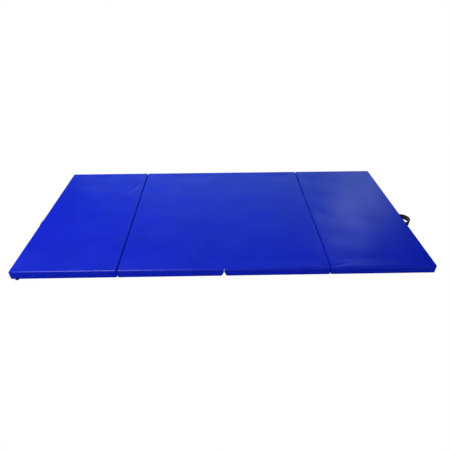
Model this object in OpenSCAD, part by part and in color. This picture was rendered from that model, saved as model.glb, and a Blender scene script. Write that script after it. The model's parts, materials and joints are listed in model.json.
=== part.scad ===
// Folding gym mat: four foam panels in vinyl covers, hinged in an accordion fold.
// Millimetres. +X runs along the unfolded mat, +Y to its zipped side and +Z up.
// The origin is at the middle of the part's box, on the floor. The shapes are drawn about the
// foot of the middle fold, and moved to the origin where they are placed.

/* [Mat] */
// Pitch of one panel along the mat
panel_l = 610; // [600:10:760]
// Width of the mat
mat_w = 1220; // [600:10:1830]
// Thickness of a panel
mat_t = 50; // [45:1:80]
// Radius of the upright corners at the ends of the mat
corner_r = 14; // [6:1:30]
// Radius of the upright corners at the folds
fold_corner_r = 6; // [4:1:15]
// Thickness of the vinyl skins
skin_t = 0.9; // [0.6:0.1:1.2]

/* [Folds] */
// Gap between the walls at the two outer folds
outer_gap = 3.5; // [2:0.5:8]
// Gap between the walls at the middle fold, above the knee
notch_top = 1.2; // [0.8:0.1:3]
// Gap between the walls at the middle fold, at the bottom
notch_bottom = 26; // [4:1:40]
// Height of the knee, below which those walls lean apart
notch_knee = 26; // [10:1:38]
// Width of one leaf of a fold's hinge strip
leaf_w = 30; // [20:1:50]

/* [Handles] */
// Width of the webbing
web_w = 36; // [25:1:38]
// Thickness of the webbing
web_t = 2.4; // [1.5:0.1:3]
// How far the open loop stands out from its wall
loop_out = 56; // [45:1:70]
// How far the loop that lies against its wall stands out
flat_out = 8.5; // [6.5:0.5:12]
// Half the distance between the two ends of a loop
loop_half = 50; // [45:1:80]
// Where the middle of each handle is along its end wall, from the wall's own middle
handle_y = -95; // [-150:5:150]
// Length of webbing sewn flat on the wall at each end
end_l = 38; // [25:1:50]

/* [Zips] */
// Length of the zip's chain
zip_l = 520; // [200:10:520]
// Width of the zip's tapes
tape_w = 24; // [16:1:28]

/* [Hook and loop] */
// Width of the hook strip and of the loop strip
strip_w = 20; // [15:1:60]
// Distance from the end wall to the strip
strip_inset = 32; // [10:1:40]
// How far the hook strip's front end hangs out past the panel
strip_tab = 8; // [0:1:15]

/* [Hidden] */
$fn = 64;
PANEL_PARTS = [
    "foam_core", "top_skin", "bottom_skin", "boxing", "outer_leaf",
    "zip_tape", "zip_chain", "zip_stops", "zip_slider", "zip_pull"
];
OTHER_PARTS = [
    "middle_leaf_2", "middle_leaf_3",
    "handle_loop_left", "handle_loop_right",
    "handle_ends_left", "handle_ends_right",
    "handle_backing_left", "handle_backing_right",
    "hook_strip", "loop_strip"
];

vinyl_blue = [0.08, 0.20, 0.75];
foam_cream = [0.88, 0.86, 0.80];
web_black = [0.04, 0.04, 0.06];
tape_navy = [0.05, 0.07, 0.25];
metal_grey = [0.62, 0.63, 0.65];

wall_y = mat_w / 2;
end_x = 2 * panel_l;
side_run = wall_y - 2 * skin_t - corner_r; // half the length of the strips along Y
fold_gap = 0.15;                 // from a fold's axis to the nearest skin
reach = 10;                      // how far a cutting tool passes its target
backing_t = 0.9;
backing_h = mat_t - 12;
backing_l = end_l + 8;
web_z = (mat_t - web_w) / 2 - 3; // bottom edge of the webbing
loop_root = 9;                   // clear space between the open loop and its wall
loop_clear = 2;                  // from the end of a loop to the sewn webbing, along Y

tape_t = 0.7;
tape_y = wall_y - skin_t;        // outer face of the tapes
zip_z = mat_t / 2;
slot_h = 10;
slot_extra = 8;
chain_w = 4.6;
chain_t = 2;
stop_l = 3;
slider_l = 14;
slider_w = 9;
slider_t = 4;
slider_lift = 0.5;               // from the tapes to the slider's lips
slider_clear = 0.3;
bar_r = 0.8;
bar_y = tape_y + slider_t + 1.9; // axis of the bar that the pull turns on
ear_inner = 3;
ear_t = 1.2;
ear_l = 3;
knuckle_r = 1.7;
knuckle_w = 5.2;
pull_clear = 0.1;
pull_l = 26;
pull_t = 1.4;
pull_w = 8;
pull_neck = 4;
pull_eye_r = 1.6;
centre_x = (loop_out - flat_out) / 2;
centre_y = (bar_y + knuckle_r - wall_y - strip_tab) / 2;

function zip_x(n) = (n - 2.5) * panel_l;
function slider_x(n) = zip_x(n) + zip_l / 2 - stop_l - slider_l / 2 - 1;
function lean_x(z) = (notch_top + (notch_bottom - notch_top) * (1 - z / notch_knee)) / 2;

// Rectangle from x0 to x1 and across the mat, with corners of radius r0 at x0 and r1 at x1.
module plan(x0, x1, half_w, r0, r1) {
    r_max = max(r0, r1);
    translate([x0 + r0, -half_w]) square([x1 - x0 - r0 - r1, 2 * half_w]);
    translate([x0, r_max - half_w]) square([x1 - x0, 2 * (half_w - r_max)]);
    for (y = [-1, 1]) {
        translate([x0 + r0, y * (half_w - r0)]) circle(r0);
        translate([x1 - r1, y * (half_w - r1)]) circle(r1);
    }
}

// Panels 1 and 2 are the mirror images of panels 4 and 3.
module on_side(n) {
    mirror([n < 3 ? 1 : 0, 0, 0]) children();
}

// An end panel's shape between z0 and z1, drawn in from its walls by inset.
module end_block(inset, z0, z1) {
    translate([0, 0, z0])
        linear_extrude(z1 - z0)
            plan(
                panel_l + outer_gap / 2 + inset, end_x - inset, wall_y - inset,
                fold_corner_r - inset, corner_r - inset
            );
}

// A middle panel's shape: its wall at the middle fold leans back below the knee.
module middle_block(inset, z0, z1) {
    corner = fold_corner_r - inset;
    z_tip = notch_knee + reach;
    difference() {
        translate([0, 0, z0])
            linear_extrude(z1 - z0)
                plan(
                    notch_top / 2 + inset, panel_l - outer_gap / 2 - inset, wall_y - inset,
                    corner, corner
                );
        translate([inset, wall_y + reach, 0])
            rotate([90, 0, 0])
                linear_extrude(2 * (wall_y + reach))
                    polygon([
                        [lean_x(z_tip), z_tip],
                        [lean_x(z_tip), -reach],
                        [lean_x(-reach), -reach]
                    ]);
    }
}

module block(n, inset, z0, z1) {
    on_side(n) {
        if (n == 1 || n == 4) end_block(inset, z0, z1);
        else middle_block(inset, z0, z1);
    }
}

// Leaf of an outer fold's hinge strip, level with the bottom skin.
module outer_leaf_shape(n, below) {
    x0 = n == 1 || n == 4 ? panel_l + fold_gap : panel_l - leaf_w;
    on_side(n)
        translate([x0, -side_run, -below])
            cube([leaf_w - fold_gap, 2 * side_run, skin_t + below]);
}

// Leaf of the middle fold's hinge strip, under the top skin.
module middle_leaf_shape(n, above) {
    on_side(n)
        translate([fold_gap, -side_run, mat_t - 2 * skin_t])
            cube([leaf_w, 2 * side_run, skin_t + above]);
}

// Box along a panel's zip, between y0 and y1.
module zip_box(n, length, height, y0, y1) {
    translate([zip_x(n) - length / 2, y0, zip_z - height / 2])
        cube([length, y1 - y0, height]);
}

module tape_shape(n, beyond) {
    zip_box(n, zip_l + 2 * slot_extra, tape_w, tape_y - tape_t, tape_y + beyond);
}

// Patch inside an end wall, behind each end of a handle.
module backing_shape(n, beyond) {
    on_side(n)
        for (s = [-1, 1])
            translate([
                end_x - skin_t - backing_t,
                handle_y + s * (loop_half + loop_clear + end_l / 2) - backing_l / 2,
                (mat_t - backing_h) / 2
            ])
                cube([backing_t + beyond, backing_l, backing_h]);
}

// Strip under an end of the mat, level with the bottom skin.
module strip_shape(n, y0, y1, below) {
    on_side(n)
        translate([end_x - strip_inset - strip_w, y0, -below])
            cube([strip_w, y1 - y0, skin_t + below]);
}

module hook_strip_shape(below) {
    strip_shape(1, -wall_y - strip_tab, side_run, below);
}

module loop_strip_shape(below) {
    strip_shape(4, -side_run, side_run, below);
}

module foam_core(n) {
    color(foam_cream)
        difference() {
            block(n, skin_t, skin_t, mat_t - skin_t);
            tape_shape(n, reach);
            if (n == 1 || n == 4) backing_shape(n, reach);
            else middle_leaf_shape(n, reach);
        }
}

module top_skin(n) {
    color(vinyl_blue) {
        if (n == 1 || n == 4) block(n, 0, mat_t - skin_t, mat_t);
        else on_side(n)
            translate([0, 0, mat_t - skin_t])
                linear_extrude(skin_t)
                    plan(
                        fold_gap, panel_l - outer_gap / 2, wall_y,
                        fold_corner_r, fold_corner_r
                    );
    }
}

module bottom_skin(n) {
    color(vinyl_blue)
        difference() {
            block(n, 0, 0, skin_t);
            outer_leaf_shape(n, reach);
            if (n == 1) hook_strip_shape(reach);
            if (n == 4) loop_strip_shape(reach);
        }
}

module boxing(n) {
    color(vinyl_blue)
        difference() {
            block(n, 0, skin_t, mat_t - skin_t);
            block(n, skin_t, 0, mat_t);
            zip_box(n, zip_l + slot_extra, slot_h, tape_y - reach, wall_y + reach);
            if (n == 2 || n == 3) middle_leaf_shape(n, reach);
        }
}

module zip_tape(n) {
    color(tape_navy) tape_shape(n, 0);
}

module zip_chain(n) {
    r = chain_t / 2;
    color(tape_navy)
        translate([zip_x(n) + zip_l / 2 - stop_l, tape_y + r, zip_z])
            rotate([0, -90, 0])
                linear_extrude(zip_l - 2 * stop_l) {
                    square([chain_w - chain_t, chain_t], center = true);
                    for (s = [-1, 1]) translate([s * (chain_w / 2 - r), 0]) circle(r);
                }
}

module zip_stops(n) {
    color(metal_grey)
        for (x = [zip_x(n) - zip_l / 2, zip_x(n) + zip_l / 2 - stop_l])
            translate([x, tape_y, zip_z - chain_w / 2 - slider_clear])
                cube([stop_l, chain_t + slider_clear, chain_w + 2 * slider_clear]);
}

// Slider: a channel over the chain, with two ears that carry the pull's bar.
module zip_slider(n) {
    tunnel = chain_w + 2 * slider_clear;
    color(metal_grey)
        translate([slider_x(n), tape_y, zip_z]) {
            difference() {
                translate([-slider_l / 2, slider_lift, -slider_w / 2])
                    cube([slider_l, slider_t - slider_lift, slider_w]);
                translate([-slider_l / 2 - reach, -reach, -tunnel / 2])
                    cube([slider_l + 2 * reach, reach + chain_t + slider_clear, tunnel]);
            }
            for (s = [-1, 1])
                translate([-ear_l / 2, slider_t, s * (ear_inner + ear_t / 2) - ear_t / 2])
                    cube([ear_l, bar_y - tape_y - slider_t + bar_r + 0.4, ear_t]);
            translate([0, bar_y - tape_y, -ear_inner]) cylinder(h = 2 * ear_inner, r = bar_r);
        }
}

// Pull tab: a knuckle round the slider's bar and a flat tab with an eye.
module zip_pull(n) {
    bore_r = bar_r + pull_clear;
    color(metal_grey)
        translate([slider_x(n), bar_y, zip_z])
            difference() {
                union() {
                    translate([0, 0, -knuckle_w / 2]) cylinder(h = knuckle_w, r = knuckle_r);
                    translate([0, -pull_t / 2, -knuckle_w / 2]) cube([pull_neck, pull_t, knuckle_w]);
                    translate([pull_neck, -pull_t / 2, -pull_w / 2])
                        cube([pull_l - pull_neck - pull_w / 2, pull_t, pull_w]);
                    translate([pull_l - pull_w / 2, pull_t / 2, 0])
                        rotate([90, 0, 0])
                            cylinder(h = pull_t, r = pull_w / 2);
                }
                translate([0, 0, -knuckle_w]) cylinder(h = 2 * knuckle_w, r = bore_r);
                translate([pull_l - pull_w / 2, pull_t, 0])
                    rotate([90, 0, 0])
                        cylinder(h = 2 * pull_t, r = pull_eye_r);
            }
}

module outer_leaf(n) {
    color(vinyl_blue) outer_leaf_shape(n, 0);
}

module middle_leaf(n) {
    color(tape_navy) middle_leaf_shape(n, 0);
}

// Webbing arch whose middle line meets the wall at loop_half each way.
module handle_loop(n, out, root) {
    rise = out - web_t;
    arch_r = (loop_half * loop_half + rise * rise) / (2 * rise);
    span = loop_half - loop_clear / 2;
    color(web_black)
        on_side(n)
            translate([end_x, handle_y, web_z])
                intersection() {
                    translate([out - web_t / 2 - arch_r, 0, 0])
                        difference() {
                            cylinder(h = web_w, r = arch_r + web_t / 2, $fn = 180);
                            translate([0, 0, -reach])
                                cylinder(h = web_w + 2 * reach, r = arch_r - web_t / 2, $fn = 180);
                        }
                    translate([root, -span, -reach]) cube([out, 2 * span, web_w + 2 * reach]);
                }
}

// Both ends of a handle, sewn flat on the end wall.
module handle_ends(n) {
    color(web_black)
        on_side(n)
            for (s = [-1, 1])
                translate([
                    end_x,
                    handle_y + s * (loop_half + loop_clear + end_l / 2) - end_l / 2,
                    web_z
                ])
                    cube([web_t, end_l, web_w]);
}

module handle_backing(n) {
    color(tape_navy) backing_shape(n, 0);
}

module hook_strip() {
    color(web_black) hook_strip_shape(0);
}

module loop_strip() {
    color(web_black) loop_strip_shape(0);
}

translate([-centre_x, -centre_y, 0]) {
    for (n = [1:4]) {
        foam_core(n);
        top_skin(n);
        bottom_skin(n);
        boxing(n);
        zip_tape(n);
        zip_chain(n);
        zip_stops(n);
        zip_slider(n);
        zip_pull(n);
        outer_leaf(n);
    }
    for (n = [2:3]) {
        middle_leaf(n);
    }
    handle_loop(1, flat_out, 0);  // handle_loop_left
    handle_loop(4, loop_out, loop_root);  // handle_loop_right
    handle_ends(1);  // handle_ends_left
    handle_ends(4);  // handle_ends_right
    handle_backing(1);  // handle_backing_left
    handle_backing(4);  // handle_backing_right
    hook_strip();
    loop_strip();
}
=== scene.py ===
import json
import math

import bpy
import numpy as np
from mathutils import Matrix, Vector, noise


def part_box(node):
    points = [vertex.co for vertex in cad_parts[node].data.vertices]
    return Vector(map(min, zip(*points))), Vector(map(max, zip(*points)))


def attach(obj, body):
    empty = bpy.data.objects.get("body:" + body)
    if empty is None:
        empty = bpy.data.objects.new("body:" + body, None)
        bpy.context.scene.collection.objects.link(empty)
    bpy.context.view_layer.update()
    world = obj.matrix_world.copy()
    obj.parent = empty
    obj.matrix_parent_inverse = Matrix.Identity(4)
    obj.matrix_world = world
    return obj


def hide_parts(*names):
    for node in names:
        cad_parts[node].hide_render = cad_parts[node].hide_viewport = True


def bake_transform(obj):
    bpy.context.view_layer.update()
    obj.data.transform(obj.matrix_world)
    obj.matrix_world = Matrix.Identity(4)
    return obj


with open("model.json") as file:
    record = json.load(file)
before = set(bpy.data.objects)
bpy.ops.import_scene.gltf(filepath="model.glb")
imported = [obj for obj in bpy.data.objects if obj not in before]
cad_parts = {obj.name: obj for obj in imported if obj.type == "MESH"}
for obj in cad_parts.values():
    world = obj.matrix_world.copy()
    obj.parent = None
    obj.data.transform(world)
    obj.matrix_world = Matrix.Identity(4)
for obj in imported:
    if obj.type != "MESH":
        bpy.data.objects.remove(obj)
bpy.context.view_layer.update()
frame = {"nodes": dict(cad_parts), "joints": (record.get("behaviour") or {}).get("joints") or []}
MM = 0.001
PANELS = (1, 2, 3, 4)

# Sizes that part.scad gives and no node's box shows.
END_CORNER = 14 * MM
FOLD_CORNER = 6 * MM
KNEE_Z = 26 * MM
WEB_T = 2.4 * MM

# Sizes of the sewn cover.
TOP_EDGE = 8 * MM        # radius of its upper edges
BOTTOM_EDGE = 4 * MM     # radius of its lower edges
SKIN = 0.9 * MM
SEAM_DOWN = 9 * MM       # from the top to the upper seam
SEAM_UP = 6.2 * MM       # from the floor to the lower seam
SEAM_DEPTH = 1.0 * MM
SEAM_WIDTH = 0.5 * MM
PUCKER_DEPTH = 0.35 * MM
PUCKER_SIZE = 26 * MM
PUCKER_REACH = 7 * MM    # how far from a seam the cloth puckers
HEM = 8.6 * MM           # how far the sheet of panels 2 and 3 comes down their walls
HEM_ROOM = 1.1 * MM      # how far their walls stand back under it

# Room that a cover leaves for the strips sewn to it.
FOLD_ROOM = 33 * MM      # half its width, at a fold
STRIP_MARGIN = 4 * MM    # its width past each edge of a strip, at an end
ROOM_RAMP = 3 * MM
ROOM_DEPTH = 1.0 * MM

JOINTS = {j["name"]: j for j in frame["joints"]}
FOLD_12, FOLD_23, FOLD_34 = (JOINTS[f"fold_{a}_{a + 1}"]["pos_m"][0] for a in (1, 2, 3))


# ---------------------------------------------------------------- materials


class Shader:
    """A material's node tree, with short ways to add the nodes that the materials need."""

    def __init__(self, name, base, roughness, **sockets):
        self.material = bpy.data.materials.new(name)
        self.material.use_nodes = True
        self.nodes = self.material.node_tree.nodes
        self.links = self.material.node_tree.links
        self.bsdf = self.nodes["Principled BSDF"]
        self.bsdf.inputs["Base Color"].default_value = (*base, 1)
        self.bsdf.inputs["Roughness"].default_value = roughness
        for socket, value in sockets.items():
            self.bsdf.inputs[socket.replace("_", " ")].default_value = value
        self.coord = self.nodes.new("ShaderNodeTexCoord").outputs["Object"]

    def scaled(self, x, y, z):
        node = self.nodes.new("ShaderNodeMapping")
        node.inputs["Scale"].default_value = (x, y, z)
        self.links.new(self.coord, node.inputs["Vector"])
        return node.outputs["Vector"]

    def noise(self, scale, detail=2.0, rough=0.5, vector=None):
        node = self.nodes.new("ShaderNodeTexNoise")
        node.inputs["Scale"].default_value = scale
        node.inputs["Detail"].default_value = detail
        node.inputs["Roughness"].default_value = rough
        self.links.new(vector or self.coord, node.inputs["Vector"])
        return node.outputs["Fac"]

    def cells(self, scale):
        node = self.nodes.new("ShaderNodeTexVoronoi")
        node.inputs["Scale"].default_value = scale
        self.links.new(self.coord, node.inputs["Vector"])
        return node.outputs["Distance"]

    def wave(self, axis, scale, distortion=0.0):
        node = self.nodes.new("ShaderNodeTexWave")
        node.wave_type = "BANDS"
        node.bands_direction = axis
        node.inputs["Scale"].default_value = scale
        node.inputs["Distortion"].default_value = distortion
        self.links.new(self.coord, node.inputs["Vector"])
        return node.outputs["Fac"]

    def math(self, kind, a, b):
        node = self.nodes.new("ShaderNodeMath")
        node.operation = kind
        for value, socket in zip((a, b), node.inputs):
            if isinstance(value, (int, float)):
                socket.default_value = value
            else:
                self.links.new(value, socket)
        return node.outputs["Value"]

    def ramp(self, value, low, high, a, b):
        """Colour a where value is at most low, and b where it is at least high."""
        node = self.nodes.new("ShaderNodeValToRGB")
        ends = node.color_ramp.elements
        ends[0].position, ends[0].color = low, (*a, 1)
        ends[1].position, ends[1].color = high, (*b, 1)
        self.links.new(value, node.inputs["Fac"])
        return node.outputs["Color"]

    def span(self, value, low, high, to_low, to_high):
        """The value with its range from low to high carried over to another range."""
        node = self.nodes.new("ShaderNodeMapRange")
        limits = (low, high, to_low, to_high)
        for socket, limit in zip(("From Min", "From Max", "To Min", "To Max"), limits):
            node.inputs[socket].default_value = limit
        self.links.new(value, node.inputs["Value"])
        return node.outputs["Result"]

    def set(self, socket, value):
        self.links.new(value, self.bsdf.inputs[socket])

    def bump(self, height, strength, distance):
        """Adds a bump on top of those the material already has."""
        node = self.nodes.new("ShaderNodeBump")
        node.inputs["Strength"].default_value = strength
        node.inputs["Distance"].default_value = distance
        self.links.new(height, node.inputs["Height"])
        before = self.bsdf.inputs["Normal"]
        if before.is_linked:
            self.links.new(before.links[0].from_socket, node.inputs["Normal"])
        self.links.new(node.outputs["Normal"], before)


def vinyl_material():
    """Coated cloth: even royal blue, a soft gloss, and a fine embossed grain."""
    s = Shader("vinyl", (0.0026, 0.0150, 0.52), 0.28, Specular_IOR_Level=0.34)
    blotches = s.noise(5, 3, 0.55)
    deep, bright = (0.0022, 0.0136, 0.49), (0.0030, 0.0164, 0.56)
    s.set("Base Color", s.ramp(blotches, 0.3, 0.72, deep, bright))
    s.set("Roughness", s.span(s.noise(9, 4, 0.6), 0.3, 0.7, 0.29, 0.35))
    grain = s.math("ADD", s.cells(950), s.noise(2600, 2))
    s.bump(grain, 0.12, 0.1 * MM)
    s.bump(s.noise(38, 2), 0.10, 0.9 * MM)
    return s.material


def foam_material():
    """Cut closed-cell foam: cream, with open pores."""
    s = Shader("foam", (0.78, 0.74, 0.62), 0.9)
    pores = s.cells(700)
    s.set("Base Color", s.ramp(pores, 0.05, 0.6, (0.62, 0.57, 0.45), (0.82, 0.78, 0.66)))
    s.bump(pores, 0.8, 0.5 * MM)
    return s.material


def webbing_material(name, base, along):
    """Woven tape: ribs along it, and the weft's fine bars across them."""
    across = {"X": "Y", "Y": "Z"}[along]
    s = Shader(name, base, 0.75, Sheen_Weight=0.06, Sheen_Roughness=0.5)
    ribs = s.wave(across, 420)
    bars = s.wave(along, 620, 0.6)
    weave = s.math("MULTIPLY", ribs, bars)
    lighter = tuple(min(1, 2.3 * c + 0.006) for c in base)
    s.set("Base Color", s.ramp(s.math("ADD", weave, s.noise(160, 3)), 0.45, 1.3, base, lighter))
    s.bump(weave, 0.75, 0.45 * MM)
    return s.material


def lining_material():
    """Plain navy cloth on the inner side of the cover."""
    s = Shader("lining", (0.02, 0.03, 0.12), 0.85, Sheen_Weight=0.3)
    weave = s.math("MULTIPLY", s.wave("X", 700), s.wave("Y", 700))
    s.set("Base Color", s.ramp(weave, 0.0, 1.0, (0.012, 0.018, 0.08), (0.035, 0.05, 0.17)))
    s.bump(weave, 0.6, 0.3 * MM)
    return s.material


def thread_material():
    """Twisted nylon thread."""
    s = Shader("thread", (0.01, 0.02, 0.20), 0.5, Sheen_Weight=0.2)
    twist = s.wave("DIAGONAL", 900)
    s.set("Base Color", s.ramp(twist, 0.2, 0.9, (0.006, 0.012, 0.13), (0.02, 0.04, 0.30)))
    s.bump(twist, 0.7, 0.2 * MM)
    return s.material


def coil_material():
    """Moulded nylon of the zip's teeth."""
    s = Shader("zip_coil", (0.012, 0.016, 0.07), 0.38)
    s.set("Roughness", s.span(s.noise(300, 2), 0.3, 0.7, 0.3, 0.48))
    dark, light = (0.009, 0.012, 0.055), (0.018, 0.024, 0.095)
    s.set("Base Color", s.ramp(s.noise(90, 2), 0.3, 0.7, dark, light))
    return s.material


def metal_material():
    """Zinc plate with fine handling scratches, duller where it is rubbed."""
    s = Shader("zip_metal", (0.62, 0.62, 0.64), 0.3, Metallic=1.0)
    scratches = s.noise(220, 4, 0.7, s.scaled(1, 8, 1))
    s.set("Roughness", s.span(scratches, 0.3, 0.7, 0.2, 0.44))
    s.set("Base Color", s.ramp(s.noise(140, 3), 0.3, 0.75, (0.50, 0.50, 0.52), (0.68, 0.68, 0.70)))
    s.bump(scratches, 0.15, 0.05 * MM)
    return s.material


def fuzz_material(name, base, scale, depth, sheen):
    """Hook tape or loop tape: a bed of fine hooks or of soft loops."""
    s = Shader(name, base, 0.85, Sheen_Weight=sheen, Sheen_Roughness=0.6)
    pile = s.cells(scale)
    s.set("Base Color", s.ramp(pile, 0.0, 0.7, tuple(3.2 * c for c in base), base))
    s.bump(pile, 0.9, depth)
    return s.material


WEB_BLACK = (0.0028, 0.0030, 0.0075)
VINYL = vinyl_material()
FOAM = foam_material()
WEBBING = webbing_material("webbing", WEB_BLACK, "Y")
LINING = lining_material()
THREAD = thread_material()
ZIP_TAPE = webbing_material("zip_tape", (0.010, 0.013, 0.06), "X")
ZIP_COIL = coil_material()
ZIP_METAL = metal_material()
HOOK_TAPE = fuzz_material("hook_tape", WEB_BLACK, 650, 0.6 * MM, 0.1)
LOOP_TAPE = fuzz_material("loop_tape", (0.006, 0.006, 0.009), 420, 0.8 * MM, 0.5)


# ---------------------------------------------------------------- mesh tools


def add_mesh(name, points, faces, material, smooth=True):
    """A new piece with one material and its slot's name."""
    mesh = bpy.data.meshes.new(name)
    mesh.from_pydata(np.asarray(points).tolist(), [], [list(map(int, f)) for f in faces])
    if smooth:
        mesh.shade_smooth()
    mesh.materials.append(material)
    piece = bpy.data.objects.new(name, mesh)
    bpy.context.scene.collection.objects.link(piece)
    return piece


def apply_modifiers(piece):
    """Puts what the modifiers make into the piece's own mesh."""
    graph = bpy.context.evaluated_depsgraph_get()
    made = bpy.data.meshes.new_from_object(piece.evaluated_get(graph))
    piece.modifiers.clear()
    piece.data = made


def smooth_step(t):
    """0 below 0 and 1 above 1, with a smooth rise between."""
    t = np.clip(t, 0, 1)
    return t * t * (3 - 2 * t)


def bell(offset, width):
    """1 where the offset is 0, falling off smoothly on both sides."""
    return np.exp(-((offset / width) ** 2))


def box_surface(nx, ny, nz):
    """Lattice numbers (i, j, k) on the surface of a box of grid lines, and its quads."""
    i, j, k = np.meshgrid(*(np.arange(n) for n in (nx, ny, nz)), indexing="ij")
    shell = (i % (nx - 1) == 0) | (j % (ny - 1) == 0) | (k % (nz - 1) == 0)
    number = np.full((nx, ny, nz), -1)
    number[shell] = np.arange(shell.sum())

    def quads(grid, flip):
        corners = (grid[:-1, :-1], grid[1:, :-1], grid[1:, 1:], grid[:-1, 1:])
        found = np.stack(corners, -1).reshape(-1, 4)
        return found[:, ::-1] if flip else found

    sides = {
        "top": quads(number[:, :, -1], False), "bottom": quads(number[:, :, 0], True),
        "x_lo": quads(number[0], True), "x_hi": quads(number[-1], False),
        "y_lo": quads(number[:, 0], False), "y_hi": quads(number[:, -1], True),
    }
    return np.stack([i[shell], j[shell], k[shell]], 1), sides


def side_lines(length, dense_lo, dense_hi, step):
    """Positions of grid lines along a side: close together near its ends, then even."""
    lo, hi = np.array(dense_lo) * MM, length - np.array(dense_hi) * MM
    count = max(1, round((hi[-1] - lo[-1]) / step))
    return np.concatenate([lo[:-1], np.linspace(lo[-1], hi[-1], count + 1), hi[:-1][::-1]])


TINY = 1e-9


class Lattice:
    """Grid points on a box, with how far each one is from the box's sides."""

    def __init__(self, lo, hi, xs, ys, zs):
        self.lo, self.hi = lo, hi
        index, self.sides = box_surface(len(xs), len(ys), len(zs))
        self.x, self.y, self.z = (
            lo[a] + np.array(values)[index[:, a]] for a, values in enumerate((xs, ys, zs))
        )
        self.from_x = np.minimum(self.x - lo.x, hi.x - self.x)
        self.from_y = np.minimum(self.y - lo.y, hi.y - self.y)
        self.depth = np.minimum(self.from_x, self.from_y)
        self.below, self.above = hi.z - self.z, self.z - lo.z
        self.wall = self.depth < TINY

    def rounded(self, corner_lo, corner_hi, top_r, bottom_r, wall_inset):
        """The points with the box's upright corners and then its upper and lower edges rounded."""
        inset, z = self.depth + wall_inset * self.wall, self.z.copy()
        for gap, r, level, down in (
            (self.below, top_r, self.hi.z, -1), (self.above, bottom_r, self.lo.z, 1),
        ):
            near = (gap < r) & (self.depth < r)
            turn = math.pi / 4 * (1 + (gap - self.depth) / r)
            inset = np.where(near, r * (1 - np.sin(turn)) + wall_inset, inset)
            z = np.where(near, level + down * r * (1 - np.cos(turn)), z)
        left, front = self.x - self.lo.x < self.hi.x - self.x, self.y < (self.lo.y + self.hi.y) / 2
        corner = np.where(left, corner_lo, corner_hi)
        a, b = corner - self.from_x, corner - self.from_y
        turned = (a > 0) & (b > 0)
        scale = (corner - inset) / np.maximum(np.hypot(a, b), TINY)
        near_x, near_y = self.from_x <= self.depth, self.from_y <= self.depth
        to_x = np.where(turned, corner - a * scale, np.where(near_x, inset, self.from_x))
        to_y = np.where(turned, corner - b * scale, np.where(near_y, inset, self.from_y))
        x = np.where(left, self.lo.x + to_x, self.hi.x - to_x)
        y = np.where(front, self.lo.y + to_y, self.hi.y - to_y)
        return np.stack([x, y, z], 1)


def unevenness(x, y, seed, size):
    """Smooth noise over the plan, about -1 to 1, with features of that size."""
    places = zip(x / size, y / size)
    return np.array([noise.noise(Vector((a, b, 7.3 * seed))) for a, b in places])


def crease(x, y, a, b, width, deepest):
    """Depth of a soft crease from a to b that fades at both ends."""
    along = b - a
    t = ((x - a[0]) * along[0] + (y - a[1]) * along[1]) / (along @ along)
    off = np.hypot(x - a[0] - t * along[0], y - a[1] - t * along[1])
    fade = smooth_step(t / 0.25) * smooth_step((1 - t) / 0.6)
    return deepest * fade * bell(off, width)


# ---------------------------------------------------------------- covers

# Grid lines in mm: from each end of a side, from the middle fold, up a cover, and up the sheet's hem.
EDGE_LINES = (0, 1.3, 2.6, 3.9, 5, 6.5, 8.5, 11, 14, 17.5, 21.5, 26, 30, 33, 38, 45, 53, 62)
FOLD_LINES = (0, 0.8, 1.6, 2.6, 4, 5.6, 7.6, 10, 14, 20, 28, 38, 50)
Z_LINES = (0, 1, 2, 3, 4, 5.2, 5.8, 6.2, 6.6, 7.4, 10, 14, 18.6, 19.6, 20.4, 25, 29.6, 30.4,
           31.4, 35, 38.5, 40, 40.6, 41, 41.4, 42, 43, 44.2, 45.4, 46.6, 47.8, 49, 50)
HEM_LINES = (0, 0.8, 1.6, 2.6, 3.8, 5.0, 6.2, 7.4, 8.6)
GRID_STEP = 11 * MM

# Cloth simulation of a top: its grid, how much larger than its panel it is, and its limits.
SLACK_STEP = 38 * MM
SLACK = 0.0008
SLACK_START = 0.6 * MM
SLACK_CAP = 1.2 * MM
SLACK_DROP = 1.15 * MM   # how far it is lowered, so that folded panels don't meet
SLACK_FRAMES = 24
FOAM_PIN = 0.4           # weight of the pins that stand for the foam
SHEET_SEED = 23

# Creases beside the outer folds, by panel. Each runs from one place to another, both given as
# distances from the fold and from that side of the panel. Then come its half width and depth. In mm.
CREASES = {
    1: (
        ("front", (-10, 300), (-110, 20), 14, 1.9),
        ("front", (-12, 140), (-50, 4), 9, 1.5),
        ("front", (-20, 50), (-75, 2), 6, 1.1),
        ("back", (-10, -120), (-150, -420), 20, 1.9),
    ),
    2: (
        ("front", (6, 6), (100, 90), 8, 1.2),
        ("front", (10, 20), (50, 160), 8, 1.1),
        ("front", (20, 4), (160, 35), 6, 1.1),
        ("back", (4, -600), (90, -400), 14, 0.6),
    ),
    3: (
        ("front", (-6, 10), (-120, 50), 9, 0.6),
    ),
    4: (
        ("front", (10, 10), (140, 50), 8, 1.2),
        ("front", (6, 40), (50, 180), 8, 0.6),
    ),
}


def panel_span(n):
    """Lowest and highest corner of a panel's cover."""
    lo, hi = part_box(f"boxing_{n}")
    lo.z, hi.z = 0.0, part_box(f"top_skin_{n}")[1].z
    return lo, hi


def is_end(n):
    """Whether panel n is one of the two at the mat's ends."""
    return n in (1, 4)


def outer_fold(n):
    """Where along X the panel's outer fold is."""
    return FOLD_12 if n < 3 else FOLD_34


def from_inner_side(grid, n):
    """How far each grid point is from the panel's side towards the mat's middle."""
    return grid.hi.x - grid.x if n < 3 else grid.x - grid.lo.x


def inner_share(grid):
    """0 at a top's rim, rising to 1 well inside it."""
    return smooth_step((grid.depth - 3 * MM) / (80 * MM))


def seam(gap, place, depth):
    """How far a seam draws the cloth in, at that gap from an edge."""
    return depth * bell(gap - place, SEAM_WIDTH)


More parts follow.
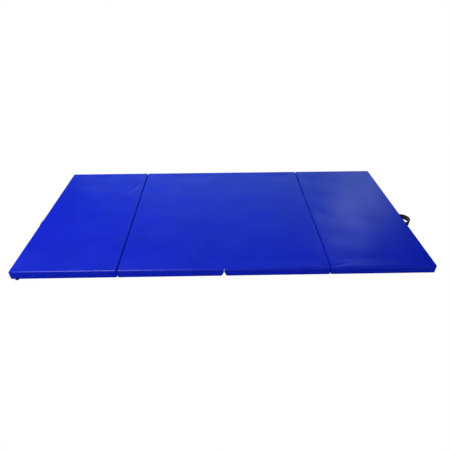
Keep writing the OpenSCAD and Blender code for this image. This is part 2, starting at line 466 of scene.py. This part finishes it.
def zip_pocket(grid, n):
    """How far the back wall is pressed in at the zip, less the rise of the lips round it."""
    lo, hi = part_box(f"zip_chain_{n}")
    tape_lo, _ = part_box(f"zip_tape_{n}")
    past_chain, slot_half, ramp = 7 * MM, 5 * MM, 3 * MM
    lip_past, lip_width, lip_rise = 0.6 * MM, 0.9 * MM, 0.35 * MM
    middle, half = (lo + hi) / 2, (hi.x - lo.x) / 2 + past_chain
    depth = grid.hi.y - tape_lo.y + 0.1 * MM
    on_wall = grid.wall & (grid.hi.y - grid.y < TINY)
    dx, dz = np.abs(grid.x - middle.x), np.abs(grid.z - middle.z)
    inside = smooth_step((half - dx) / ramp) * (dz < slot_half)
    lip = smooth_step((half + 2 * ramp - dx) / ramp) * bell(dz - slot_half - lip_past, lip_width)
    return on_wall * (inside * depth - lip_rise * lip * (inside == 0))


def cover_inset(grid, n):
    """How far in from its box the cover is: at the seams, in the puckers and at the zip."""
    pucker = PUCKER_DEPTH * (0.5 + 0.5 * unevenness(grid.x + grid.y, grid.z * 2, n, PUCKER_SIZE))
    near_seam = bell(grid.below - SEAM_DOWN, PUCKER_REACH) + bell(grid.above - SEAM_UP, PUCKER_REACH)
    seams = seam(grid.below, SEAM_DOWN, SEAM_DEPTH) + seam(grid.above, SEAM_UP, 0.8 * SEAM_DEPTH)
    inset = np.where(grid.wall, seams + near_seam * pucker + zip_pocket(grid, n), pucker)
    return inset if is_end(n) else inset + HEM_ROOM * (grid.below < SEAM_DOWN)


def make_cover(n):
    """Closed cover of one panel. Panels 2 and 3 leave room above for the sheet they share."""
    lo, hi = panel_span(n)
    xs = side_lines(hi.x - lo.x, EDGE_LINES, EDGE_LINES, GRID_STEP)
    ys = side_lines(hi.y - lo.y, EDGE_LINES, EDGE_LINES, GRID_STEP)
    grid = Lattice(lo, hi, xs, ys, np.array(Z_LINES) * MM)
    corner_lo = END_CORNER if n == 1 else FOLD_CORNER
    corner_hi = END_CORNER if n == 4 else FOLD_CORNER
    points = grid.rounded(corner_lo, corner_hi, TOP_EDGE, BOTTOM_EDGE, cover_inset(grid, n))
    # How much of the top's shift reaches a point: all of it at the top, and none 14 mm below.
    upper = smooth_step((14 * MM - grid.below) / (8 * MM))
    replaced = [f"boxing_{n}", f"bottom_skin_{n}"]
    if is_end(n):
        slack = cloth_slack(lo, hi, n)
        points[:, 2] += upper * top_relief(points[:, 0], points[:, 1], n, grid, slack)
        replaced.append(f"top_skin_{n}")
    else:
        lower_top(points, grid, n, upper)
        lean_wall(points, grid, n)
    make_room_below(points, grid, n)
    points[:, 2] = np.maximum(points[:, 2], 0.0)
    cover = add_mesh(f"cover_{n}", points, np.concatenate(list(grid.sides.values())), VINYL)
    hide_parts(*replaced)
    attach(cover, f"panel_{n}")


def lower_top(points, grid, n, upper):
    """The top leaves room for the sheet over it, and for the lining strip at the middle fold."""
    clear, rim, inner = 0.1 * MM, 1.4 * MM, 1.3 * MM
    rim_drop = rim * smooth_step((grid.depth - 2 * MM) / (8 * MM))
    at_fold = smooth_step((FOLD_ROOM - from_inner_side(grid, n)) / ROOM_RAMP)
    drop = SKIN + clear + rim_drop + inner * inner_share(grid) + ROOM_DEPTH * at_fold
    points[:, 2] -= upper * drop


def lean_wall(points, grid, n):
    """The wall at the middle fold leans back below the knee."""
    side, back = (1, -1) if n < 3 else (0, 1)
    most = abs(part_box(f"bottom_skin_{n}")[side].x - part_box(f"boxing_{n}")[side].x)
    share = np.clip(1 - grid.z / KNEE_Z, 0, 1) ** 1.15
    near = 1 - smooth_step(from_inner_side(grid, n) / (60 * MM))
    points[:, 0] += back * most * share * near


def make_room_below(points, grid, n):
    """Under the outer folds and the end strips, the cover's underside is pressed in."""
    x = points[:, 0]
    room = smooth_step((FOLD_ROOM - np.abs(x - outer_fold(n))) / ROOM_RAMP)
    strips = {1: "hook_strip", 4: "loop_strip"}
    if n in strips:
        lo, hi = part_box(strips[n])
        middle, half = (lo.x + hi.x) / 2, (hi.x - lo.x) / 2
        room = np.maximum(room, smooth_step((half + STRIP_MARGIN - np.abs(x - middle)) / ROOM_RAMP))
    pressed = np.maximum(points[:, 2], ROOM_DEPTH * room)
    points[:, 2] = np.where(grid.above < TINY, pressed, points[:, 2])


def cloth_slack(lo, hi, seed):
    """Heights on a coarse grid: a top come to rest as cloth that is a little larger than its panel."""
    counts = [round((hi[a] - lo[a]) / SLACK_STEP) + 1 for a in (0, 1)]
    xs, ys = (np.linspace(lo[a], hi[a], counts[a]) for a in (0, 1))
    x, y = (values.ravel() for values in np.meshgrid(xs, ys, indexing="ij"))
    start = SLACK_START * unevenness(x, y, seed, 230 * MM)
    settled = settle(np.stack([x, y, start], 1), counts)
    return xs, ys, SLACK_CAP * np.tanh(settled / SLACK_CAP)


def settle(points, counts):
    """Heights of a grid of points after the cloth simulation.

    The rim is held by the seams, and weak pins all over stand for the foam below.
    """
    number = np.arange(len(points)).reshape(counts)
    corners = (number[:-1, :-1], number[1:, :-1], number[1:, 1:], number[:-1, 1:])
    faces = np.stack(corners, -1).reshape(-1, 4)
    mesh = bpy.data.meshes.new("slack")
    mesh.from_pydata(points.tolist(), [], faces.tolist())
    cloth_top = bpy.data.objects.new("slack", mesh)
    bpy.context.scene.collection.objects.link(cloth_top)
    rim = np.ones(counts, bool)
    rim[1:-1, 1:-1] = False
    pins = cloth_top.vertex_groups.new(name="pins")
    pins.add(number[rim].tolist(), 1.0, "REPLACE")
    pins.add(number[~rim].tolist(), FOAM_PIN, "REPLACE")
    cloth = cloth_top.modifiers.new("cloth", "CLOTH")
    stuff = cloth.settings
    stuff.quality, stuff.mass = 6, 0.3
    stuff.tension_stiffness = stuff.compression_stiffness = 60
    stuff.shear_stiffness, stuff.bending_stiffness = 20, 10
    stuff.vertex_group_mass, stuff.pin_stiffness = "pins", 1.0
    stuff.shrink_min = -SLACK
    stuff.effector_weights.gravity = 0
    cloth.point_cache.frame_end = SLACK_FRAMES
    for step in range(1, SLACK_FRAMES + 1):
        bpy.context.scene.frame_set(step)
    graph = bpy.context.evaluated_depsgraph_get()
    places = np.empty(3 * len(points))
    cloth_top.evaluated_get(graph).data.vertices.foreach_get("co", places)
    bpy.data.objects.remove(cloth_top)
    bpy.data.meshes.remove(mesh)
    bpy.context.scene.frame_set(1)
    return places[2::3].reshape(counts)


def height_at(slack, x, y):
    """Height of the settled cloth at each point, smooth between the coarse grid's points."""
    xs, ys, heights = slack
    (i, s), (j, t) = (
        np.divmod(np.clip((v - line[0]) / (line[1] - line[0]), 0, len(line) - 1.001), 1)
        for v, line in ((x, xs), (y, ys))
    )
    i, j, s, t = i.astype(int), j.astype(int), smooth_step(s), smooth_step(t)
    low = heights[i, j] * (1 - s) + heights[i + 1, j] * s
    high = heights[i, j + 1] * (1 - s) + heights[i + 1, j + 1] * s
    return low * (1 - t) + high * t


def cloth_waves(x, y, slack, seed):
    """Height of the settled cloth, with small unevenness, lowered to stay below the folds' axis."""
    return height_at(slack, x, y) + 0.16 * MM * unevenness(x, y, seed, 70 * MM) - SLACK_DROP


def top_relief(x, y, n, grid, slack):
    """Height that an end cover's top gains or loses by the cloth's slack and the creases."""
    return inner_share(grid) * cloth_waves(x, y, slack, n + 9) - creases(x, y, n)


def creases(x, y, n):
    """Depth of the creases beside a panel's outer fold."""
    lo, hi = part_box(f"boxing_{n}")
    sides = {"front": lo.y, "back": hi.y}
    depth = np.zeros(len(x))
    for side, start, end, width, deepest in CREASES[n]:
        origin = np.array((outer_fold(n), sides[side]))
        a, b = (origin + np.array(place) * MM for place in (start, end))
        depth += crease(x, y, a, b, width * MM, deepest * MM)
    return depth


def pinch_at_fold(points, grid):
    """At the middle fold the sheet's top dips, and its hems are drawn in and up."""
    pull_in, dip, lifted = 5.5 * MM, 0.5 * MM, 0.85
    off = np.abs(grid.x - FOLD_23)
    narrow, wide = bell(off, 4.5 * MM), bell(off, 6 * MM)
    at_side = smooth_step(1 - grid.from_y / (9 * MM))
    toward = np.sign((grid.lo.y + grid.hi.y) / 2 - grid.y)
    points[:, 1] += toward * pull_in * narrow * at_side
    lift = (grid.hi.z - points[:, 2]) * lifted * wide
    points[:, 2] += lift * (grid.depth < 5 * MM)
    points[:, 2] -= dip * narrow


def sheet_relief(points, grid):
    """Height that the sheet gains or loses by the cloth's slack and the creases."""
    x, y = points[:, 0], points[:, 1]
    beside_fold = smooth_step((np.abs(grid.x - FOLD_23) - 4 * MM) / (60 * MM))
    slack = cloth_slack(grid.lo, grid.hi, SHEET_SEED)
    height = inner_share(grid) * beside_fold * cloth_waves(x, y, slack, SHEET_SEED + 8)
    height -= np.where(x < FOLD_23, creases(x, y, 2), creases(x, y, 3))
    return height * smooth_step(grid.above / (4 * MM))


def make_top_sheet():
    """The sheet over panels 2 and 3, creased where it hinges them."""
    (lo, _), (_, hi) = panel_span(2), panel_span(3)
    lo.z = hi.z - HEM
    half = (hi.x - lo.x) / 2
    left = side_lines(half, EDGE_LINES, FOLD_LINES, GRID_STEP)
    right = half + side_lines(half, FOLD_LINES, EDGE_LINES, GRID_STEP)
    xs = np.concatenate([left, right[1:]])
    ys = side_lines(hi.y - lo.y, EDGE_LINES, EDGE_LINES, GRID_STEP)
    grid = Lattice(lo, hi, xs, ys, np.array(HEM_LINES) * MM)
    pucker = PUCKER_DEPTH * (0.5 + 0.5 * unevenness(grid.x + grid.y, grid.z * 2, 2, PUCKER_SIZE))
    hem = seam(grid.above, 0, 0.5 * SEAM_DEPTH) + pucker
    points = grid.rounded(FOLD_CORNER, FOLD_CORNER, TOP_EDGE, 0.1 * MM, hem)
    pinch_at_fold(points, grid)
    points[:, 2] += sheet_relief(points, grid)
    faces = np.concatenate([quads for side, quads in grid.sides.items() if side != "bottom"])
    used, numbers = np.unique(faces, return_inverse=True)
    sheet = add_mesh("top_sheet", points[used], numbers.reshape(faces.shape), VINYL)
    shell = sheet.modifiers.new("shell", "SOLIDIFY")
    shell.thickness, shell.offset = 0.8 * MM, -1
    apply_modifiers(sheet)
    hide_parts("top_skin_2", "top_skin_3")
    bend_over(sheet)


def bend_over(piece):
    """Puts the piece's placement into its mesh. The piece is not bent at the fold."""
    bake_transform(piece)


def make_foam(n):
    """The foam core inside a cover."""
    lo, hi = panel_span(n)
    side, floor_gap, top_gap = 3.5 * MM, 2.2 * MM, 4.2 * MM
    lo, hi = lo + Vector((side, side, floor_gap)), hi - Vector((side, side, top_gap))
    lines, step = (0, 2, 4, 7, 12, 25, 60), 60 * MM
    xs, ys = (side_lines(hi[a] - lo[a], lines, lines, step) for a in (0, 1))
    zs = np.array([0, 1, 2, 4, 12, 20, 30, 36, 38, 40, 42, 43.6]) * MM
    grid = Lattice(lo, hi, xs, ys, np.minimum(zs, hi.z - lo.z))
    corner, edge = 4 * MM, 2 * MM
    points = grid.rounded(corner, corner, edge, edge, np.zeros(len(grid.x)))
    if not is_end(n):
        lean_wall(points, grid, n)
    core = add_mesh(f"foam_{n}", points, np.concatenate(list(grid.sides.values())), FOAM)
    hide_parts(f"foam_core_{n}")
    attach(core, f"panel_{n}")


# ---------------------------------------------------------------- ribbons and stitches


def ribbon(name, path, across, width, thick, material):
    """A flat strip with rounded edges. Its middle line is path, and across is its width's direction."""
    path, across = np.array(path, float), np.array(across, float)
    tangent = np.gradient(path, axis=0)
    tangent /= np.linalg.norm(tangent, axis=1)[:, None]
    normal = np.cross(across, tangent)
    edge = thick * 0.45
    profile = []
    for quarter, (sign_w, sign_t) in enumerate(((1, 1), (-1, 1), (-1, -1), (1, -1))):
        for angle in np.linspace(0, math.pi / 2, 4) + quarter * math.pi / 2:
            profile.append((
                sign_w * (width / 2 - edge) + edge * math.cos(angle),
                sign_t * (thick / 2 - edge) + edge * math.sin(angle),
            ))
    profile = np.array(profile)
    count, rings = len(profile), len(path)
    points = (
        path[:, None]
        + profile[None, :, :1] * across
        + profile[None, :, 1:] * normal[:, None]
    ).reshape(-1, 3)
    ring, step = np.arange(count), np.arange(rings - 1)[:, None] * count
    a, b = step + ring, step + (ring + 1) % count
    faces = [*np.stack([a, b, b + count, a + count], -1).reshape(-1, 4)[:, ::-1]]
    faces += [ring.tolist(), (ring[::-1] + (rings - 1) * count).tolist()]
    piece = add_mesh(name, points, faces, material)
    for cut_end in piece.data.polygons[-2:]:
        cut_end.use_smooth = False
    return piece


def stitch_row(corners, pitch):
    """Centre and direction of each stitch along a line of straight runs."""
    found = []
    for a, b in zip(corners[:-1], corners[1:]):
        a, b = Vector(a), Vector(b)
        run = b - a
        count = max(1, int(run.length / pitch))
        for n in range(count):
            found.append((a + run * ((n + 0.5) / count), run.normalized()))
    return found


def tube_faces(base, rings, sides):
    """Faces of a closed tube, whose points start at number base and come ring by ring."""
    first = [base + k for k in range(sides)]
    last = [k + (rings - 1) * sides for k in first]
    faces = [tuple(first), tuple(reversed(last))]
    for start in range(base, base + (rings - 1) * sides, sides):
        for k in range(sides):
            a, b = start + k, start + (k + 1) % sides
            faces.append((a, a + sides, b + sides, b))
    return faces


def stitches(name, rows, out, length, radius):
    """Sewing thread: a small bead for each row's (centre, direction), facing out of the cloth."""
    out = np.array(out, float)
    rings, sides, flatness = 5, 6, 0.8
    points, faces = [], []
    for centre, direction in rows:
        centre, direction = np.array(centre), np.array(direction)
        side = np.cross(direction, out)
        base = len(points)
        for r in range(rings):
            t = r / (rings - 1) * 2 - 1
            girth = radius * max(0.15, math.sqrt(1 - 0.93 * t * t))
            for k in range(sides):
                angle = 2 * math.pi * k / sides
                around = side * math.cos(angle) + out * math.sin(angle) * flatness
                points.append(centre + direction * t * length / 2 + around * girth)
        faces += tube_faces(base, rings, sides)
    return add_mesh(name, points, faces, THREAD)


def both_ways(half, offsets):
    """Places along a strip across a fold: its ends, and these distances from the fold, in mm."""
    one_side = [-half, *(-offset * MM for offset in offsets)]
    return [*one_side, 0, *(-x for x in reversed(one_side))]


def hinge_strip(name, left, right, nodes):
    """Strip under an outer fold, sewn to both panels."""
    lo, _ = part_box(nodes[0])
    _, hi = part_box(nodes[1])
    fold = outer_fold(left)
    z, half = (lo.z + hi.z) / 2, (hi.x - lo.x) / 2
    path = [(fold + x, (lo.y + hi.y) / 2, z) for x in both_ways(half, (20, 10, 5, 2, 1.5, 1, 0.5))]
    strip = ribbon(name, path, (0, 1, 0), hi.y - lo.y, 0.8 * MM, VINYL)
    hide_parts(*nodes)
    bend_over(strip)
    pitch, from_edge, from_end, sunk = 5 * MM, 4 * MM, 5 * MM, 0.1 * MM
    for n, sign in ((left, -1), (right, 1)):
        x = fold + sign * (half - from_edge)
        line = [(x, lo.y + from_end, lo.z + sunk), (x, hi.y - from_end, lo.z + sunk)]
        row = stitch_row(line, pitch)
        sewn = stitches(f"{name}_stitches_{n}", row, (0, 0, -1), 3.4 * MM, 0.2 * MM)
        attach(sewn, f"panel_{n}")


def hinge_lining():
    """Cloth strip under the sheet at the middle fold, dipping into the fold."""
    lo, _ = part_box("middle_leaf_2")
    _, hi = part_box("middle_leaf_3")
    z, half = (lo.z + hi.z) / 2 - 0.05 * MM, (hi.x - lo.x) / 2
    dip, dip_width = 1.0 * MM, 3.2 * MM
    xs = both_ways(half, (20, 10, 5, 3, 2, 1.5, 1, 0.5))
    path = [(FOLD_23 + x, (lo.y + hi.y) / 2, z - dip * bell(x, dip_width)) for x in xs]
    strip = ribbon("hinge_lining", path, (0, 1, 0), hi.y - lo.y, 0.6 * MM, LINING)
    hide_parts("middle_leaf_2", "middle_leaf_3")
    bend_over(strip)


def end_strip(name, node, panel, material):
    """Hook or loop tape under an end of the mat, sewn along both edges."""
    lo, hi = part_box(node)
    z, middle = 0.45 * MM, (lo.x + hi.x) / 2
    path = [(middle, y, z) for y in np.linspace(lo.y, hi.y, 90)]
    strip = ribbon(name, path, (1, 0, 0), hi.x - lo.x, 0.8 * MM, material)
    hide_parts(node)
    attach(strip, f"panel_{panel}")
    from_edge, front_gap, back_gap, thread_z = 2 * MM, 10 * MM, 4 * MM, 0.12 * MM
    rows = []
    for x in (lo.x + from_edge, hi.x - from_edge):
        line = [(x, lo.y + front_gap, thread_z), (x, hi.y - back_gap, thread_z)]
        rows += stitch_row(line, 5 * MM)
    sewn = stitches(f"{name}_stitches", rows, (0, 0, -1), 3.2 * MM, 0.2 * MM)
    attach(sewn, f"panel_{panel}")


# ---------------------------------------------------------------- handles


def rounded_corner(before, corner, after, radius, steps=8):
    """Points on the arc that rounds a corner between two straight runs."""
    a, b = (before - corner).normalized(), (after - corner).normalized()
    half = a.angle(b) / 2
    reach = radius / math.tan(half)
    start, end = corner + a * reach, corner + b * reach
    centre = corner + (a + b).normalized() * radius / math.sin(half)
    arm = start - centre
    turn = arm.rotation_difference(end - centre)
    axis, angle = turn.axis, turn.angle
    return [centre + Matrix.Rotation(angle * n / steps, 3, axis) @ arm for n in range(steps + 1)]


def handle_path(side, wall, centre, tip, half, far, bend):
    """Middle line of a handle's webbing, from one sewn end round the loop to the other."""
    rise = abs(tip - wall)
    radius = (half**2 + rise**2) / (2 * rise)
    spread = math.asin(min(1, half / radius))
    if rise > half:
        spread = math.pi - spread
    steps, skip, past_bend, sewn_points = 44, 3, 1 * MM, 6

    def place(out, y):
        return Vector((wall + side * out, centre.y + y, centre.z))

    arch = []
    for n in range(steps + 1):
        angle = spread * (1 - 2 * n / steps)
        arch.append(place(rise - radius + radius * math.cos(angle), radius * math.sin(angle)))
    first = rounded_corner(place(0, far), arch[0], arch[skip], bend)
    last = rounded_corner(arch[-1 - skip], arch[-1], place(0, -far), bend)
    head, tail = (abs(arc_end.y - centre.y) + past_bend for arc_end in (first[0], last[-1]))
    before = [place(0, y) for y in np.linspace(far, head, sewn_points)]
    after = [place(0, -y) for y in np.linspace(tail, far, sewn_points)]
    return [*before, *first, *arch[skip + 1 : -skip - 1], *last, *after]


# Radius of the bend where a handle's webbing leaves its wall, for each handle.
WEB_BEND = {"left": 3.0 * MM, "right": 4.2 * MM}


def make_handle(name, panel, side):
    """Carrying loop of webbing, sewn to an end wall. Its side is 1 to the right and -1 to the left."""
    loop, ends = f"handle_loop_{name}", f"handle_ends_{name}"
    (lo, hi), (loop_lo, loop_hi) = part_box(ends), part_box(loop)
    wall = lo.x if side > 0 else hi.x
    tip = (loop_hi.x if side > 0 else loop_lo.x) - side * WEB_T / 2
    centre, width = (lo + hi) / 2, hi.z - lo.z
    far, half = (hi.y - lo.y) / 2, (loop_hi.y - loop_lo.y) / 2
    path = handle_path(side, wall + side * WEB_T / 2, centre, tip, half, far, WEB_BEND[name])
    web = ribbon(f"handle_{name}_web", path, (0, 0, 1), width, WEB_T * 0.96, WEBBING)
    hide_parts(loop, ends)
    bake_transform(web)
    sew_handle(name, panel, side, half)
    make_backing(name, panel, side, half)


def sew_handle(name, panel, side, half):
    """A crossed box of stitches on each sewn end of a handle."""
    lo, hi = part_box(f"handle_ends_{name}")
    middle, far = (lo.y + hi.y) / 2, (hi.y - lo.y) / 2
    from_loop, from_edge, sunk = 7 * MM, 4 * MM, 0.05 * MM
    x = (lo.x if side > 0 else hi.x) + side * (WEB_T - sunk)
    z0, z1 = lo.z + from_edge, hi.z - from_edge
    rows = []
    for sign in (1, -1):
        y0, y1 = middle + sign * (half + from_loop), middle + sign * (far - from_edge)
        box = [(x, y0, z0), (x, y1, z0), (x, y1, z1), (x, y0, z1), (x, y0, z0)]
        for line in (box, [(x, y0, z0), (x, y1, z1)], [(x, y0, z1), (x, y1, z0)]):
            rows += stitch_row(line, 3.2 * MM)
    sewn = stitches(f"handle_{name}_stitches", rows, (side, 0, 0), 2.5 * MM, 0.32 * MM)
    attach(sewn, f"panel_{panel}")


def make_backing(name, panel, side, half):
    """A patch inside the wall behind each sewn end of a handle."""
    backing = f"handle_backing_{name}"
    lo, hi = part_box(backing)
    centre, height = (lo + hi) / 2, hi.z - lo.z
    behind, under_loop = 1.2 * MM, 3 * MM
    near, far = half - under_loop, (hi.y - lo.y) / 2
    x = centre.x - side * behind
    for sign, which in ((1, "back"), (-1, "front")):
        y0, y1 = centre.y + sign * near, centre.y + sign * far
        line = [(x, y, centre.z) for y in np.linspace(y0, y1, 9)]
        patch = ribbon(f"backing_{name}_{which}", line, (0, 0, 1), height, 0.8 * MM, LINING)
        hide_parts(backing)
        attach(patch, f"panel_{panel}")


# ---------------------------------------------------------------- zips


def make_zip(n):
    """Tape, coil teeth and metal parts of one panel's zip."""
    body = f"panel_{n}"
    lo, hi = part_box(f"zip_tape_{n}")
    y, z = (lo.y + hi.y) / 2, (lo.z + hi.z) / 2
    path = [(x, y, z) for x in np.linspace(lo.x, hi.x, 60)]
    tape = ribbon(f"tape_{n}", path, (0, 0, 1), hi.z - lo.z, 0.6 * MM, ZIP_TAPE)
    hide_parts(f"zip_tape_{n}")
    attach(tape, body)
    make_teeth(n, hi.y)
    sew_zip(n)
    for node in ("zip_stops", "zip_slider", "zip_pull"):
        part = frame["nodes"][f"{node}_{n}"]
        part.data.materials.clear()
        part.data.materials.append(ZIP_METAL)
        edge = part.modifiers.new("edge", "BEVEL")
        edge.width, edge.segments, edge.limit_method = 0.25 * MM, 2, "ANGLE"


def make_teeth(n, face_y):
    """Two interlocked rows of coil teeth, one from each edge of the chain."""
    lo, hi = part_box(f"zip_chain_{n}")
    pitch, width, long, depth = 1.6 * MM, 0.825 * MM, 2.75 * MM, hi.y - face_y
    middle, half = (lo.z + hi.z) / 2, (hi.z - lo.z) / 2
    section = [(-0.5, 0.1), (-0.5, 0.75), (-0.3, 1), (0.3, 1), (0.5, 0.75), (0.5, 0.1)]
    rings = ((0, 0.8), (0.6 * MM, 1.0), (long - 0.5 * MM, 1.0), (long, 0.7))
    points, faces = [], []
    for t in range(2 * int((hi.x - lo.x) / pitch)):
        x = lo.x + (t + 0.5) * pitch / 2
        up = 1 if t % 2 else -1
        base = len(points)
        for from_heel, girth in rings:
            z = middle + up * (half - from_heel)
            for across, out in section:
                y = face_y + out * depth * (0.8 + 0.2 * girth)
                points.append((x + across * width * girth, y, z))
        tooth = tube_faces(base, len(rings), len(section))
        faces += [face if up > 0 else face[::-1] for face in tooth]
    teeth = add_mesh(f"teeth_{n}", points, faces, ZIP_COIL, smooth=False)
    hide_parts(f"zip_chain_{n}")
    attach(teeth, f"panel_{n}")


def sew_zip(n):
    """A row of stitches above the zip and one below it."""
    lo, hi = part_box(f"zip_chain_{n}")
    middle, from_chain, past_end = (lo.z + hi.z) / 2, 9 * MM, 6 * MM
    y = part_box(f"boxing_{n}")[1].y + 0.02 * MM
    rows = []
    for z in (middle - from_chain, middle + from_chain):
        rows += stitch_row([(lo.x - past_end, y, z), (hi.x + past_end, y, z)], 4 * MM)
    sewn = stitches(f"zip_stitches_{n}", rows, (0, 1, 0), 3.0 * MM, 0.28 * MM)
    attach(sewn, f"panel_{n}")


# ---------------------------------------------------------------- stage, light and camera


def look_at(lamp, target):
    """Turns a lamp to face the target."""
    lamp.rotation_euler = (Vector(target) - lamp.location).to_track_quat("-Z", "Y").to_euler()


def add_light(name, place, target, size, power, colour=(1, 1, 1)):
    """Rectangular area lamp, aimed from its place at the target."""
    data = bpy.data.lights.new(name, "AREA")
    data.shape, data.size, data.size_y = "RECTANGLE", size[0], size[1]
    data.energy, data.color = power, colour
    lamp = bpy.data.objects.new(name, data)
    lamp.location = place
    look_at(lamp, target)
    bpy.context.scene.collection.objects.link(lamp)


def make_world(backdrop, ambient):
    """A white backdrop behind everything, and a dim room for light and reflections."""
    world = bpy.data.worlds.new("studio")
    bpy.context.scene.world = world
    world.use_nodes = True
    nodes, links = world.node_tree.nodes, world.node_tree.links
    room = nodes["Background"]
    room.inputs["Color"].default_value = (*ambient, 1)
    seen = nodes.new("ShaderNodeBackground")
    seen.inputs["Color"].default_value = (backdrop,) * 3 + (1,)
    pick = nodes.new("ShaderNodeMixShader")
    rays = nodes.new("ShaderNodeLightPath")
    links.new(rays.outputs["Is Camera Ray"], pick.inputs["Fac"])
    links.new(room.outputs["Background"], pick.inputs[1])
    links.new(seen.outputs["Background"], pick.inputs[2])
    links.new(pick.outputs["Shader"], nodes["World Output"].inputs["Surface"])


def make_floor():
    """Floor that only bounced light meets, and that sends it back dim and blue.

    Camera and shadow rays pass, so a panel folded below the floor stays in view and is lit.
    """
    material = bpy.data.materials.new("floor")
    material.use_nodes = True
    nodes, links = material.node_tree.nodes, material.node_tree.links
    nodes.clear()
    out = nodes.new("ShaderNodeOutputMaterial")
    paint = nodes.new("ShaderNodeBsdfDiffuse")
    paint.inputs["Color"].default_value = (0.10, 0.22, 0.85, 1)
    clear = nodes.new("ShaderNodeBsdfTransparent")
    rays = nodes.new("ShaderNodeLightPath")
    passing = nodes.new("ShaderNodeMath")
    passing.operation = "MAXIMUM"
    links.new(rays.outputs["Is Camera Ray"], passing.inputs[0])
    links.new(rays.outputs["Is Shadow Ray"], passing.inputs[1])
    mix = nodes.new("ShaderNodeMixShader")
    links.new(passing.outputs["Value"], mix.inputs["Fac"])
    links.new(paint.outputs["BSDF"], mix.inputs[1])
    links.new(clear.outputs["BSDF"], mix.inputs[2])
    links.new(mix.outputs["Shader"], out.inputs["Surface"])
    half, z = 12.0, -0.3 * MM
    corners = [(-half, -half, z), (half, -half, z), (half, half, z), (-half, half, z)]
    mesh = bpy.data.meshes.new("floor")
    mesh.from_pydata(corners, [], [(0, 1, 2, 3)])
    mesh.materials.append(material)
    floor = bpy.data.objects.new("floor", mesh)
    bpy.context.scene.collection.objects.link(floor)


def make_camera(place, yaw, pitch, roll, lens):
    """Camera that looks along +Y, turned right by yaw, down by pitch and then rolled."""
    data = bpy.data.cameras.new("camera")
    data.sensor_width, data.lens = 36.0, lens
    camera = bpy.data.objects.new("camera", data)
    level = math.cos(pitch)
    forward = Vector((math.sin(yaw) * level, math.cos(yaw) * level, -math.sin(pitch)))
    flat_right = Vector((math.cos(yaw), -math.sin(yaw), 0))
    flat_up = flat_right.cross(forward)
    right = flat_right * math.cos(roll) + flat_up * math.sin(roll)
    up = flat_up * math.cos(roll) - flat_right * math.sin(roll)
    turned = Matrix((right, up, -forward)).transposed().to_4x4()
    camera.matrix_world = Matrix.Translation(place) @ turned
    bpy.context.scene.collection.objects.link(camera)
    bpy.context.scene.camera = camera


def make_stage():
    """The photo's camera, a white backdrop, and lamps that give the photo's sheen."""
    bpy.context.scene.view_settings.view_transform = "Standard"
    pale_blue = (0.42, 0.80, 1.0)
    mat_x = (FOLD_12 + FOLD_34) / 2
    place = Vector((mat_x - 0.019, -2.243, 1.472))
    make_camera(place, yaw=0.0153, pitch=0.5999, roll=-0.0051, lens=30.41)
    make_world(1.0, (0.012, 0.013, 0.016))
    make_floor()
    add_light("under", (0.0, 1.2, -3.0), (0.0, 0.0, 0.0), (2.5, 2.5), 70)
    add_light("key", (-1.9, 0.0, 3.5), (-0.4, 0.0, 0.0), (1.6, 1.6), 148)
    add_light("fill", (0.6, -5.2, 1.7), (0.1, -0.6, 0.0), (7.0, 3.0), 60)
    add_light("edge", (-1.3, -3.2, 3.6), (-0.8, -0.6, 0.0), (3.0, 0.22), 22)
    add_light("haze", (0.4, 4.2, 1.5), (0.0, 0.3, 0.0), (6.6, 0.9), 24, pale_blue)
    add_light("sky", (0.1, 4.4, 2.8), (0.0, 0.0, 0.0), (3.4, 1.4), 5.5, pale_blue)
    add_light("glint", (1.97, 2.57, 1.72), (0.87, 0.0, 0.0), (0.65, 0.42), 3.2, (0.74, 0.90, 1.0))


# ---------------------------------------------------------------- the whole mat

make_stage()
for panel in PANELS:
    make_cover(panel)
    make_foam(panel)
    make_zip(panel)
make_top_sheet()
hinge_lining()
hinge_strip("hinge_strip_left", 1, 2, ("outer_leaf_1", "outer_leaf_2"))
hinge_strip("hinge_strip_right", 3, 4, ("outer_leaf_3", "outer_leaf_4"))
end_strip("hook_tape", "hook_strip", 1, HOOK_TAPE)
end_strip("loop_tape", "loop_strip", 4, LOOP_TAPE)
make_handle("left", 1, -1)
make_handle("right", 4, 1)
